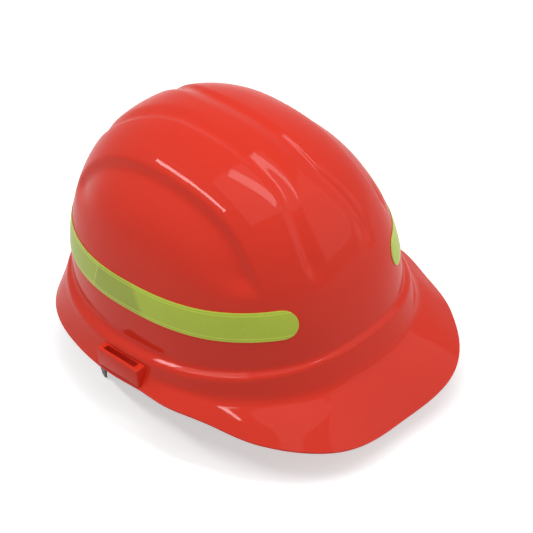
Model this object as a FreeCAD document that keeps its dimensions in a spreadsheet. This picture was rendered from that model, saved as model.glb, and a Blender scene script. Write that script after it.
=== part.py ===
import FreeCAD, Part
import math
import os
import Sketcher

# Firefighter's helmet: moulded cap-style shell, reflective strips and a ratchet suspension.
# Units are mm.  +X is the wearer's left, -Y the front, +Z up.  The origin lies on the middle
# plane, at the level of the brim edge beside the ears, under the middle of the crown.

doc = FreeCAD.newDocument("helmet")
V = FreeCAD.Vector

# ---------------------------------------------------------------- driving dimensions
sheet = doc.addObject("Spreadsheet::Sheet", "Dimensions")
SIZES = [
    ("crown_height", 153.5, "top of the crown above the origin"),
    ("wall", 2.5, "shell wall thickness"),
    ("base_half_width", 97.8, "half width of the dome at its base"),
    ("base_half_front", 125.0, "front half length of the dome at its base"),
    ("base_half_rear", 122.0, "rear half length of the dome at its base"),
    ("crown_power", 2.35, "squareness of the dome profile"),
    ("ridge_half", 20.0, "half width of the middle ridge"),
    ("lobe_outer", 58.5, "outer groove distance from the middle plane"),
    ("groove_depth", 4.2, "depth of the grooves"),
    ("block_length", 41.0, "accessory slot block, length"),
    ("block_height", 14.5, "accessory slot block, height"),
    ("block_face", 113.0, "accessory slot block, outer face from the middle plane"),
    ("slot_length", 31.0, "accessory slot, length"),
    ("slot_width", 4.4, "accessory slot, width"),
    ("tape_width", 21.5, "reflective strip width"),
    ("tape_thick", 0.5, "reflective strip, outer face above the shell"),
    ("tape_gap", 0.08, "glue line under the reflective strip"),
    ("band_half_width", 80.0, "headband half width"),
    ("band_half_length", 98.0, "headband half length"),
    ("band_height", 30.0, "headband height"),
    ("band_thick", 2.0, "headband thickness"),
    ("band_top", 8.0, "headband top edge height"),
    ("webbing_width", 18.0, "crown strap width"),
    ("webbing_thick", 1.3, "crown strap thickness"),
    ("crown_gap", 112.0, "height of the crown straps where they cross"),
    ("crown_pad_radius", 34.0, "crown pad radius"),
    ("crown_pad_thick", 4.0, "crown pad thickness"),
    ("patch_radius", 13.0, "crown patch radius"),
    ("patch_thick", 1.2, "crown patch thickness"),
    ("key_width", 20.0, "suspension key blade width"),
    ("key_thick", 2.4, "suspension key blade thickness"),
    ("pinion_radius", 6.0, "ratchet pinion pitch radius"),
    ("pinion_teeth", 10.0, "ratchet pinion tooth count"),
    ("rack_thick", 2.0, "toothed strap thickness"),
    ("ratchet_y", 99.5, "middle plane of the toothed straps"),
    ("ratchet_z", -9.0, "height of the ratchet axis"),
    ("housing_half", 34.0, "ratchet housing half length"),
    ("housing_height", 30.0, "ratchet housing height"),
    ("knob_radius", 17.0, "ratchet knob radius"),
    ("knob_depth", 10.0, "ratchet knob depth"),
    ("floor_thick", 2.8, "ratchet housing floor thickness"),
    ("cover_thick", 2.0, "ratchet cover thickness"),
    ("slide_gap", 0.15, "running gap round the toothed straps"),
    ("hub_radius", 4.0, "pinion hub radius"),
    ("drive_half", 2.6, "half width of the pinion's square drive"),
    ("screw_radius", 1.5, "small screw radius"),
    ("key_tail", -43.0, "height of the rear suspension key tails"),
]
for row, (alias, value, note) in enumerate(SIZES, start=1):
    sheet.set("A%d" % row, note)
    sheet.set("B%d" % row, str(value))
    sheet.setAlias("B%d" % row, alias)
doc.recompute()
D = {alias: float(sheet.get(alias)) for alias, _, _ in SIZES}
WALL = D["wall"]


# ---------------------------------------------------------------- shape functions
def even_curve(knots, values, degrees):
    """Smooth curve through values at knots, even about 0 and 180 degrees."""
    a = abs((degrees + 180.0) % 360.0 - 180.0)
    slopes = [0.0] * len(knots)
    for i in range(1, len(knots) - 1):
        slopes[i] = (values[i + 1] - values[i - 1]) / (knots[i + 1] - knots[i - 1])
    for i in range(len(knots) - 1):
        if a <= knots[i + 1] or i == len(knots) - 2:
            w = knots[i + 1] - knots[i]
            u = (a - knots[i]) / w
            return (
                (1 + 2 * u) * (1 - u) ** 2 * values[i]
                + u * (1 - u) ** 2 * w * slopes[i]
                + u * u * (3 - 2 * u) * values[i + 1]
                + u * u * (u - 1) * w * slopes[i + 1]
            )


EDGE_AT = [0, 20, 38, 52, 66, 80, 95, 115, 140, 160, 180]
EDGE_RADIUS = [161, 166, 150.5, 133.5, 124, 114.5, 113, 117, 129.5, 131.5, 131]
LEVELS_AT = [0, 30, 60, 90, 120, 150, 180]
EDGE_LEVEL = [-25, -14, -2, -4, -6.5, -5, -3]
CREASE_LEVEL = [30.5, 28, 22.5, 20.5, 19.8, 21, 21.5]
STEP_OUT = [3.5, 4.8, 6.8, 7.5, 6.6, 4.2, 3.2]
STEP_DROP = [2.4, 2.5, 3.2, 4.2, 4.0, 2.6, 2.4]
ROOT_LEVEL = [7.5, 7.2, 6.4, 6.6, 10.5, 13, 13]
ROOT_OUT = [4.1, 3.2, 1.8, 1.2, 1.3, 1.7, 2.0]
BRIM_BULGE = [1.5, 1.2, 0.2, -1.2, -1.0, -0.4, 0]


def level(values, degrees):
    return even_curve(LEVELS_AT, values, degrees)


def base_radius(degrees):
    """Radius of the dome at its base."""
    t = math.radians(degrees)
    front = math.cos(t) > 0
    length = D["base_half_front"] if front else D["base_half_rear"]
    power = 2.35 if front else 2.2
    across = abs(math.sin(t)) / D["base_half_width"]
    along = abs(math.cos(t)) / length
    return (across ** power + along ** power) ** (-1.0 / power)


def polar(degrees, radius, z):
    t = math.radians(degrees)
    return V(radius * math.sin(t), -radius * math.cos(t), z)


def smooth(x):
    x = min(max(x, 0.0), 1.0)
    return x * x * (3 - 2 * x)


def groove(p):
    """Depth of the crown grooves at a point of the plain dome."""
    side = abs(p.x)
    fade = smooth((p.z - 80.0) / 16.0)
    front = smooth((-p.y - 45.0) / 60.0)
    inner = D["ridge_half"] + 9.0 * front
    outer = D["lobe_outer"] + 6.0 * smooth((-p.y - 65.0) / 35.0)
    ahead = smooth((-p.y + 5.0) / 55.0)
    depth = (0.35 + 0.65 * ahead) * math.exp(-(((side - inner) / 8.5) ** 2))
    depth += math.exp(-(((side - outer) / 7.5) ** 2))
    return D["groove_depth"] * fade * depth


def dome_point(p, q):
    """Outer face of the dome over a square grid: p to the left, q to the rear."""
    s = math.hypot(p, q)
    degrees = math.degrees(math.atan2(p, -q)) if s > 1e-9 else 0.0
    radius = base_radius(degrees)
    base = level(CREASE_LEVEL, degrees)
    rise = D["crown_height"] - base
    power = D["crown_power"]
    if s < 1.0:
        angle = math.pi / 2 * (1.0 - s)
        c, e = math.cos(angle), math.sin(angle)
        reach = ((c / radius) ** power + (e / rise) ** power) ** (-1.0 / power)
        flat, z = reach * c, base + reach * e
    else:
        flat, z = radius, base - (s - 1.0) * math.pi / 2 * radius
    flat *= 1.0 - 0.023 * (z - base) / rise
    point = polar(degrees, flat, z)
    away = point - V(0, 0, 20)
    return point - away.normalize() * groove(point)


GRID = 33
REACH = 1.36


def dome_face(offset):
    """The dome's face moved out along its normal, as one smooth surface."""
    rows = []
    step = 2 * REACH / (GRID - 1)
    for i in range(GRID):
        row = []
        for j in range(GRID):
            p, q = -REACH + i * step, -REACH + j * step
            along = dome_point(p + 0.01, q) - dome_point(p - 0.01, q)
            across = dome_point(p, q + 0.01) - dome_point(p, q - 0.01)
            normal = along.cross(across).normalize()
            row.append(dome_point(p, q) + normal * offset)
        rows.append(row)
    surface = Part.BSplineSurface()
    surface.interpolate(rows)
    return surface.toShape()


def dome_solid(offset):
    """Everything under the dome face, down to below the brim."""
    block = dome_face(offset).extrude(V(0, 0, -260))
    room = Part.makeBox(400, 400, 220, V(-200, -200, -28))
    return block.common(room)


def ring_solid(section, count=60):
    """Closed ring: section(degrees) gives its corners as (radius, height)."""
    turns = [360.0 * i / count for i in range(count)]
    sections = [section(a) for a in turns]
    edges = []
    for k in range(len(sections[0])):
        curve = Part.BSplineCurve()
        points = [polar(a, *sections[i][k]) for i, a in enumerate(turns)]
        curve.interpolate(Points=points, PeriodicFlag=True)
        edges.append(curve.toShape())
    strips = []
    for a, b in zip(edges, edges[1:] + edges[:1]):
        strips.append(Part.makeRuledSurface(a, b))
    shell = Part.makeShell(strips)
    shell.sewShape()
    solid = Part.makeSolid(Part.Shell(shell.Faces))
    if solid.Volume < 0:
        solid.reverse()
    return solid


def sheet_section(points, thick):
    """A folded sheet: points (radius, height) from inside out, and the same set in by thick."""
    inner = []
    for i, (r, z) in enumerate(points):
        dirs = []
        if i > 0:
            dirs.append((r - points[i - 1][0], z - points[i - 1][1]))
        if i < len(points) - 1:
            dirs.append((points[i + 1][0] - r, points[i + 1][1] - z))
        normals = []
        for dr, dz in dirs:
            size = math.hypot(dr, dz)
            normals.append((dz / size, -dr / size))
        nr = sum(n[0] for n in normals) / len(normals)
        nz = sum(n[1] for n in normals) / len(normals)
        size2 = nr * nr + nz * nz
        inner.append((r + thick * nr / size2, z + thick * nz / size2))
    return points + inner[::-1]


def brim_section(degrees):
    base = base_radius(degrees)
    crease = level(CREASE_LEVEL, degrees)
    out = level(STEP_OUT, degrees)
    root = out + level(ROOT_OUT, degrees)
    root_z = level(ROOT_LEVEL, degrees)
    edge = even_curve(EDGE_AT, EDGE_RADIUS, degrees)
    edge_z = level(EDGE_LEVEL, degrees)
    middle = base + root + (edge - base - root) * 0.5
    middle_z = (root_z + edge_z) / 2 + level(BRIM_BULGE, degrees)
    points = [
        (base - 1.3, crease + 0.4),
        (base + out, crease - level(STEP_DROP, degrees)),
        (base + root, root_z),
        (middle, middle_z),
        (edge, edge_z),
    ]
    return sheet_section(points, WALL)


def trim_section(degrees):
    base = base_radius(degrees)
    top = level(CREASE_LEVEL, degrees) - 1.2
    return [(base - 9, top), (base + 7, top), (base + 7, -60), (base - 9, -60)]


def site(degrees, z):
    """Placement on the dome's base outline: local +X points straight out of the shell."""
    a = polar(degrees - 0.5, base_radius(degrees - 0.5), 0)
    b = polar(degrees + 0.5, base_radius(degrees + 0.5), 0)
    tangent = b - a
    turn = math.degrees(math.atan2(-tangent.x, tangent.y))
    spot = polar(degrees, base_radius(degrees), z)
    return FreeCAD.Placement(spot, FreeCAD.Rotation(V(0, 0, 1), turn))


def placed(shape, placement):
    shape.Placement = placement.multiply(shape.Placement)
    return shape


def local_box(x0, x1, y0, y1, z0, z1):
    return Part.makeBox(x1 - x0, y1 - y0, z1 - z0, V(x0, y0, z0))


KEY_AT = [("front_left", 47.0), ("front_right", -47.0), ("rear_left", 117.0), ("rear_right", -117.0)]


def add_shape(label, shape):
    feature = doc.addObject("Part::Feature", label)
    feature.Label = label
    feature.Shape = shape
    feature.Placement = shape.Placement
    return feature


# ---------------------------------------------------------------- shell
def slot_block(side):
    """Accessory slot block on the rain edge, with a slot running down through it."""
    half = D["block_length"] / 2
    face = D["block_face"]
    shift = -1.0
    top = 13.0
    block = local_box(face - 10.5, face, shift - half, shift + half, top - D["block_height"], top)
    block = block.makeFillet(1.0, [e for e in block.Edges if e.BoundBox.XMin > face - 0.1])
    long = D["slot_length"] / 2
    cut = local_box(
        face - 2.5 - D["slot_width"], face - 2.5,
        shift - long, shift + long,
        top - 40, top + 0.5,
    )
    if side < 0:
        block = block.mirror(V(0, 0, 0), V(1, 0, 0))
        cut = cut.mirror(V(0, 0, 0), V(1, 0, 0))
    return block, cut


def key_socket(degrees):
    """Pocket moulded inside the wall: takes a suspension key from below."""
    crease = level(CREASE_LEVEL, degrees)
    spot = site(degrees, crease)
    body = local_box(-7.4, -1.0, -13, 13, -5, 16)
    pocket = local_box(-5.6, -2.8, -10.4, 10.4, -20, 13)
    return placed(body, spot), placed(pocket, spot)


outer = dome_solid(0.0)
inner = dome_solid(-WALL)
wall = outer.cut(inner).cut(ring_solid(trim_section))
body = wall.fuse(ring_solid(brim_section))
for sign in (1, -1):
    block, cut = slot_block(sign)
    body = body.fuse(block).cut(cut)
for _, degrees in KEY_AT:
    socket, pocket = key_socket(degrees)
    body = body.fuse(socket).cut(pocket)
add_shape("shell", body)


# ---------------------------------------------------------------- reflective strips
STRIP_RISE = [18.6, 22.5, 25.5, 26, 25, 22.5, 20]
STRIP_FROM = 21.5
STRIP_TO = 166.0


def strip_level(degrees):
    return level(CREASE_LEVEL, degrees) + level(STRIP_RISE, degrees)


def strip_section(degrees):
    low = strip_level(degrees)
    high = low + D["tape_width"]
    return [(60, low), (165, low), (165, high), (60, high)]


def fan(start, stop):
    """Upright wedge between two directions from the middle."""
    count = 14
    turns = [start + (stop - start) * i / count for i in range(count + 1)]
    points = [V(0, 0, 0)] + [polar(a, 210, 0) for a in turns] + [V(0, 0, 0)]
    return Part.Face(Part.makePolygon(points)).extrude(V(0, 0, 200))


def round_end(degrees):
    """Disc that rounds the end of a strip."""
    radius = D["tape_width"] / 2
    spot = site(degrees, strip_level(degrees) + radius)
    out = spot.Rotation.multVec(V(1, 0, 0))
    return Part.makeCylinder(radius, 60, spot.Base - out * 40, out)


skin = dome_solid(D["tape_gap"] + D["tape_thick"]).cut(dome_solid(D["tape_gap"]))
skin = skin.common(ring_solid(strip_section))
start = STRIP_FROM + 5.3
stop = STRIP_TO - 5.0
room = fan(start, stop).fuse([round_end(start), round_end(stop)])
strip = skin.common(room)
add_shape("reflective_strip_left", strip)
add_shape("reflective_strip_right", strip.mirror(V(0, 0, 0), V(1, 0, 0)))


# ---------------------------------------------------------------- headband and its pads
BAND_LOW = D["band_top"] - D["band_height"]


def band_radius(degrees):
    """Middle of the headband's wall."""
    t = math.radians(degrees)
    power = 2.2 if math.cos(t) > 0 else 3.0
    across = abs(math.sin(t)) / D["band_half_width"]
    along = abs(math.cos(t)) / D["band_half_length"]
    return (across ** power + along ** power) ** (-1.0 / power)


BAND_SIDES = 72


def band_block(grow, low, high):
    """Upright block whose outline is the headband's middle line moved out by grow."""
    turns = [360.0 * i / BAND_SIDES for i in range(BAND_SIDES)]
    points = [polar(a, band_radius(a) + grow, low) for a in turns]
    return Part.Face(Part.makePolygon(points + points[:1])).extrude(V(0, 0, high - low))


def band_ring(near, far, low, high):
    """Closed band between two distances from the headband's middle line."""
    return band_block(far, low, high).cut(band_block(near, low - 1, high + 1))


def band_reach(degrees, aside=0.0):
    """Distance from the dome's base outline in to the headband, square to the outline."""
    spot = site(degrees, 0)
    out = spot.Rotation.multVec(V(1, 0, 0))
    first = spot.multVec(V(0, aside, 0))
    near, far = 0.0, 60.0
    for _ in range(30):
        middle = (near + far) / 2
        p = first - out * middle
        turn = math.degrees(math.atan2(p.x, -p.y))
        if math.hypot(p.x, p.y) > band_radius(turn):
            near = middle
        else:
            far = middle
    return (near + far) / 2


half = D["band_thick"] / 2
RY = D["ratchet_y"]
RZ = D["ratchet_z"]
RACK = D["rack_thick"] / 2
SLIDE = D["slide_gap"]
STUD_Z = -8.0
RACK_LOW, RACK_HIGH = 7.15, 13.2
BAND_GAP = 20.5
GUIDE_AT, GUIDE_LONG = 35.6, 6.8

band = band_ring(-half, half, BAND_LOW, D["band_top"])
band = band.cut(fan(180 - BAND_GAP, 180 + BAND_GAP).translate(V(0, 0, -100)))
for sign in (1, -1):
    guide = local_box(GUIDE_AT, GUIDE_AT + GUIDE_LONG, 88, RY + 3.2, RZ - 15, RZ + 15)
    tunnel = local_box(
        GUIDE_AT - 1, GUIDE_AT + GUIDE_LONG + 1,
        RY - RACK - SLIDE, RY + RACK + SLIDE,
        RACK_LOW - SLIDE, RACK_HIGH + SLIDE,
    )
    if sign < 0:
        guide = guide.mirror(V(0, 0, 0), V(1, 0, 0))
        tunnel = tunnel.mirror(V(0, 0, 0), V(1, 0, 0))
        tunnel = tunnel.mirror(V(0, 0, 0), V(0, 0, 1))
    tunnel.translate(V(0, 0, RZ))
    band = band.fuse(guide).cut(tunnel)
band = band.cut(band_block(-half, -60, 60))
for _, degrees in KEY_AT:
    spot = site(degrees, STUD_Z)
    out = spot.Rotation.multVec(V(1, 0, 0))
    start = spot.Base - out * (band_reach(degrees) + 6)
    band = band.cut(Part.makeCylinder(3.0, 12, start, out))
add_shape("headband", band)

pad = band_ring(-half - 3.6, -half - 0.3, BAND_LOW + 1, D["band_top"] - 1)
pad = pad.common(fan(-35, 35).translate(V(0, 0, -100)))
add_shape("brow_pad", pad)


# ---------------------------------------------------------------- suspension keys and studs
SHELF = -11.0
COLLAR = 12.0
T = D["webbing_thick"]
W = D["webbing_width"] / 2
slot_at = {}
studs = []
for name, degrees in KEY_AT:
    crease = level(CREASE_LEVEL, degrees)
    spot = site(degrees, 0)
    reach = [band_reach(degrees, aside) for aside in (-COLLAR, 0.0, COLLAR)]
    w = D["key_width"] / 2
    t = D["key_thick"]
    face = half + 0.2 - min(reach)
    behind = -max(reach) - half - 0.2
    low = crease + SHELF
    slot_x = (face + t - 7.4) / 2
    blade = local_box(-4.2 - t / 2, -4.2 + t / 2, -w, w, low, crease + 12.6)
    collar = local_box(-7.4, 1.5, -COLLAR, COLLAR, crease - 8, crease - 5.1)
    shelf = local_box(face, -3.0, -COLLAR, COLLAR, low - 3, low)
    drop = local_box(face, face + t, -9, 9, STUD_Z - 8, low)
    key = blade.fuse(collar).fuse(shelf).fuse(drop)
    if name.startswith("rear"):
        tip = D["key_tail"]
        corners = [(-9, crease - 6), (9, crease - 6), (3.0, tip + 1.2), (0, tip), (-3.0, tip + 1.2)]
        corners = [V(-0.9, y, z) for y, z in corners]
        tail = Part.Face(Part.makePolygon(corners + corners[:1])).extrude(V(t, 0, 0))
        key = key.fuse(tail)
    axis = V(1, 0, 0)
    key = key.cut(Part.makeCylinder(3.0, 12, V(face - 4, 0, STUD_Z), axis))
    slot = local_box(slot_x - T / 2 - 0.4, slot_x + T / 2 + 0.4, -W - 0.4, W + 0.4, low - 4, low + 1)
    add_shape("suspension_key_" + name, placed(key.cut(slot), spot))
    post = Part.makeCylinder(2.8, face + t + 1.2 - behind, V(behind, 0, STUD_Z), axis)
    head = Part.makeCylinder(5.0, 1.2, V(behind - 1.2, 0, STUD_Z), axis)
    studs.append(placed(post.fuse(head), spot))
    slot_at[name] = (spot.multVec(V(slot_x, 0, low)), spot.Rotation.multVec(V(0, 1, 0)))
add_shape("headband_studs", Part.makeCompound(studs))


def strap_section(middle, along, across):
    """Rectangle of webbing: along is the strap's run, across its width."""
    across = across - along * across.dot(along)
    across.normalize()
    up = along.cross(across)
    corners = []
    for a, b in ((-1, -1), (1, -1), (1, 1), (-1, 1)):
        corners.append(middle + across * (a * W) + up * (b * T / 2))
    return Part.makePolygon(corners + corners[:1])


def crown_strap(first, second, lift):
    """Webbing from one key's slot up over the head to the slot of the key across."""
    a, a_side = slot_at[first]
    b, b_side = slot_at[second]
    run = V(b.x - a.x, b.y - a.y, 0)
    length = run.Length
    run.normalize()
    aside = V(-run.y, run.x, 0)
    a_side = a_side if a_side.dot(aside) > 0 else a_side * -1
    b_side = b_side if b_side.dot(aside) > 0 else b_side * -1
    top = D["crown_gap"] + lift
    peak = length * a.x / (a.x - b.x)

    def centre(u):
        c = math.cos(u)
        x = peak - (peak if c > 0 else length - peak) * c
        foot = a.z + (b.z - a.z) * (1 - c) / 2
        return V(a.x, a.y, 0) + run * x + V(0, 0, foot + (top - foot) * math.sin(u) ** 0.9)

    tail = V(0, 0, -9)
    wires = [strap_section(a + tail, V(0, 0, 1), a_side), strap_section(a, V(0, 0, 1), a_side)]
    spans = 18
    for i in range(1, spans):
        u = math.pi * i / spans
        along = centre(u + 0.01) - centre(u - 0.01)
        along.normalize()
        near = smooth(i / 6.0)
        far = smooth((spans - i) / 6.0)
        across = aside + a_side * (1 - near) * 3 + b_side * (1 - far) * 3
        wires.append(strap_section(centre(u), along, across))
    wires += [strap_section(b, V(0, 0, -1), b_side), strap_section(b + tail, V(0, 0, -1), b_side)]
    return Part.makeLoft(wires, True, True)


add_shape("crown_strap_front_left", crown_strap("front_left", "rear_right", 0.0))
add_shape("crown_strap_front_right", crown_strap("front_right", "rear_left", 2.1))


def bind(item, **values):
    for name, expression in values.items():
        item.setExpression(name, expression)


pad = doc.addObject("Part::Cylinder", "crown_pad")
pad.Label = "crown_pad"
pad.Placement = FreeCAD.Placement(V(0, 0, D["crown_gap"] - 15), FreeCAD.Rotation())
bind(pad, Radius="Dimensions.crown_pad_radius", Height="Dimensions.crown_pad_thick")
patch = doc.addObject("Part::Cylinder", "crown_patch")
patch.Label = "crown_patch"
patch.Placement = FreeCAD.Placement(V(0, 0, D["crown_gap"] + 3.2), FreeCAD.Rotation())
bind(patch, Radius="Dimensions.patch_radius", Height="Dimensions.patch_thick")
doc.recompute()


# ---------------------------------------------------------------- ratchet
REAR = FreeCAD.Rotation(V(1, 0, 0), -90)


def ratchet_place(y):
    """Parts of the ratchet are drawn flat, then stood up so their depth runs to the rear."""
    return FreeCAD.Placement(V(0, y, RZ), REAR)


def new_body(label, place):
    item = doc.addObject("PartDesign::Body", label)
    item.Label = label
    item.Placement = place
    return item


def new_sketch(item, name, height=0.0):
    drawing = item.newObject("Sketcher::SketchObject", name)
    plane = [f for f in item.Origin.OriginFeatures if f.Role == "XY_Plane"][0]
    drawing.AttachmentSupport = [(plane, "")]
    drawing.MapMode = "FlatFace"
    drawing.AttachmentOffset = FreeCAD.Placement(V(0, 0, height), FreeCAD.Rotation())
    return drawing


def circle(drawing, radius, x=0.0, y=0.0, expression=None):
    index = drawing.addGeometry(Part.Circle(V(x, y, 0), V(0, 0, 1), radius), False)
    constraint = drawing.addConstraint(Sketcher.Constraint("Radius", index, radius))
    if expression:
        drawing.setExpression("Constraints[%d]" % constraint, expression)


def outline(drawing, points):
    for p, q in zip(points, points[1:] + points[:1]):
        drawing.addGeometry(Part.LineSegment(V(p[0], p[1], 0), V(q[0], q[1], 0)), False)


def rectangle(drawing, x0, x1, y0, y1):
    outline(drawing, [(x0, y0), (x1, y0), (x1, y1), (x0, y1)])


def pad_up(item, drawing, name, length):
    feature = item.newObject("PartDesign::Pad", name)
    feature.Profile = drawing
    feature.Length = length
    drawing.Visibility = False
    return feature


def pocket_up(item, drawing, name, length):
    feature = item.newObject("PartDesign::Pocket", name)
    feature.Profile = drawing
    feature.Length = length
    feature.Reversed = True
    drawing.Visibility = False
    return feature


def tray_cavity(sign):
    """Room of one toothed strap in the ratchet, as drawn (x, -z)."""
    x0, x1 = -25.0, D["housing_half"] + 1
    z0, z1 = 5.0, RACK_HIGH + SLIDE
    points = [(x0, -z0), (x1, -z0), (x1, -z1), (x0, -z1)]
    return [(sign * x, sign * z) for x, z in points]


SCREW_SPOTS = [(29.0, 0.0), (-29.0, 0.0)]
HH = D["housing_half"]
HV = D["housing_height"] / 2 + 1
FLOOR = RY - RACK - SLIDE

FLOOR_THICK = D["floor_thick"]
housing = new_body("ratchet_housing", ratchet_place(FLOOR - FLOOR_THICK))
base = new_sketch(housing, "HousingPlan")
rectangle(base, -HH, HH, -HV, HV)
block = pad_up(housing, base, "HousingBlock", FLOOR_THICK + 2 * RACK + 3 * SLIDE)
bind(block, Length="Dimensions.floor_thick + Dimensions.rack_thick + 3 * Dimensions.slide_gap")
doc.recompute()
for sign, name in ((1, "UpperRoom"), (-1, "LowerRoom")):
    room = new_sketch(housing, name, FLOOR_THICK)
    outline(room, tray_cavity(sign))
    pocket_up(housing, room, name + "Cut", 10)
    doc.recompute()
room = new_sketch(housing, "PinionRoom", FLOOR_THICK)
circle(room, 7.6)
pocket_up(housing, room, "PinionRoomCut", 10)
bore = new_sketch(housing, "PinionBore", -1)
circle(bore, 2.05)
pocket_up(housing, bore, "PinionBoreCut", 20)
for i, (x, y) in enumerate(SCREW_SPOTS):
    bore = new_sketch(housing, "ScrewBore%d" % i, -1)
    circle(bore, D["screw_radius"] + 0.05, x, y, "Dimensions.screw_radius + 0.05")
    pocket_up(housing, bore, "ScrewBoreCut%d" % i, 20)
doc.recompute()

COVER_Y = FLOOR + 2 * RACK + 3 * SLIDE + 0.05
cover = new_body("ratchet_cover", ratchet_place(COVER_Y))
base = new_sketch(cover, "CoverPlan")
rectangle(base, -HH, HH, -HV, HV)
plate = pad_up(cover, base, "CoverPlate", D["cover_thick"])
bind(plate, Length="Dimensions.cover_thick")
doc.recompute()
bore = new_sketch(cover, "HubBore", -1)
circle(bore, D["hub_radius"] + 0.05, expression="Dimensions.hub_radius + 0.05")
pocket_up(cover, bore, "HubBoreCut", 10)
for i, (x, y) in enumerate(SCREW_SPOTS):
    bore = new_sketch(cover, "CoverScrewBore%d" % i, -1)
    circle(bore, D["screw_radius"] + 0.05, x, y, "Dimensions.screw_radius + 0.05")
    pocket_up(cover, bore, "CoverScrewCut%d" % i, 10)
doc.recompute()

TEETH = int(D["pinion_teeth"])
PITCH_R = D["pinion_radius"]
MODULE = 2 * PITCH_R / TEETH
PRESS = math.radians(20)
THIN = 0.2


def pinion_outline():
    """Involute pinion, a tooth pointing up."""
    base_r = PITCH_R * math.cos(PRESS)
    tip = PITCH_R + 0.9
    root = PITCH_R - 1.2
    half_tooth = (math.pi * MODULE / 2 - THIN) / 2 / PITCH_R
    inv_pitch = math.tan(PRESS) - PRESS
    flank = []
    for i in range(5):
        r = base_r + (tip - base_r) * i / 4
        a = math.acos(min(1.0, base_r / r))
        flank.append((r, half_tooth + inv_pitch - (math.tan(a) - a)))
    points = []
    for n in range(TEETH):
        middle = 2 * math.pi * n / TEETH + math.pi / 2
        foot = flank[0][1] - 0.02
        points.append((root, middle - foot))
        points += [(r, middle - a) for r, a in flank]
        points += [(r, middle + a) for r, a in reversed(flank)]
        points.append((root, middle + foot))
    return [(r * math.cos(a), r * math.sin(a)) for r, a in points]


pinion = new_body("ratchet_pinion", ratchet_place(FLOOR - 2.6))
journal = new_sketch(pinion, "Journal")
circle(journal, 2.0)
pad_up(pinion, journal, "JournalPad", 2.9)
doc.recompute()
gear = new_sketch(pinion, "Gear", 2.75)
outline(gear, pinion_outline())
teeth = pad_up(pinion, gear, "GearPad", 2 * RACK)
bind(teeth, Length="Dimensions.rack_thick")
doc.recompute()
HUB_Y = COVER_Y + D["cover_thick"]
KNOB_Y = HUB_Y + 0.4
hub = new_sketch(pinion, "Hub", 2.7 + 2 * RACK)
circle(hub, D["hub_radius"], expression="Dimensions.hub_radius")
pad_up(pinion, hub, "HubPad", KNOB_Y - FLOOR - 2 * RACK - 0.15)
doc.recompute()
drive = new_sketch(pinion, "Drive", 2.6 + KNOB_Y - FLOOR - 0.1)
drive_half = D["drive_half"]
rectangle(drive, -drive_half, drive_half, -drive_half, drive_half)
pad_up(pinion, drive, "DrivePad", 5.1)
doc.recompute()
bore = new_sketch(pinion, "ScrewHole", 5)
circle(bore, D["screw_radius"], expression="Dimensions.screw_radius")
pocket_up(pinion, bore, "ScrewHoleCut", 20)
doc.recompute()

knob = new_body("ratchet_knob", ratchet_place(KNOB_Y))
disc = new_sketch(knob, "KnobDisc")
circle(disc, D["knob_radius"], expression="Dimensions.knob_radius")
feature = pad_up(knob, disc, "KnobPad", D["knob_depth"])
bind(feature, Length="Dimensions.knob_depth")
doc.recompute()
hollow = new_sketch(knob, "KnobHollow")
circle(hollow, 13.5)
circle(hollow, 6.0)
pocket_up(knob, hollow, "KnobHollowCut", 5)
socket = new_sketch(knob, "KnobSocket")
socket_half = drive_half + 0.05
rectangle(socket, -socket_half, socket_half, -socket_half, socket_half)
pocket_up(knob, socket, "KnobSocketCut", 5.2)
doc.recompute()
recess = new_sketch(knob, "ScrewRecess", 6.8)
circle(recess, 3.4)
pocket_up(knob, recess, "ScrewRecessCut", 5)
through = new_sketch(knob, "ScrewThrough")
circle(through, D["screw_radius"] + 0.05, expression="Dimensions.screw_radius + 0.05")
pocket_up(knob, through, "ScrewThroughCut", 20)
doc.recompute()
grip = new_sketch(knob, "Grip", -1)
circle(grip, 2.6, D["knob_radius"] + 1.4, 0)
first = pocket_up(knob, grip, "GripCut", 20)
doc.recompute()
ring = knob.newObject("PartDesign::PolarPattern", "GripRing")
ring.Originals = [first]
ring.Axis = (grip, ["N_Axis"])
ring.Angle = 360
ring.Occurrences = 12
knob.Tip = ring
doc.recompute()
notch = new_sketch(knob, "Notch")
circle(notch, 0.9, 13.6, 0)
first = pocket_up(knob, notch, "NotchCut", 5)
doc.recompute()
ring = knob.newObject("PartDesign::PolarPattern", "NotchRing")
ring.Originals = [first]
ring.Axis = (notch, ["N_Axis"])
ring.Angle = 360
ring.Occurrences = 16
knob.Tip = ring
doc.recompute()

screw = new_body("knob_screw", ratchet_place(KNOB_Y))
shank = new_sketch(screw, "Shank", -2.5)
circle(shank, D["screw_radius"] - 0.02)
pad_up(screw, shank, "ShankPad", 9.5)
doc.recompute()
head = new_sketch(screw, "Head", 6.85)
circle(head, 3.1)
pad_up(screw, head, "HeadPad", 1.6)
doc.recompute()
cross = new_sketch(screw, "Cross", 7.6)
outline(cross, [
    (0.35, 0.35), (0.35, 1.8), (-0.35, 1.8), (-0.35, 0.35), (-1.8, 0.35), (-1.8, -0.35),
    (-0.35, -0.35), (-0.35, -1.8), (0.35, -1.8), (0.35, -0.35), (1.8, -0.35), (1.8, 0.35),
])
pocket_up(screw, cross, "CrossCut", 3)
doc.recompute()


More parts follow.
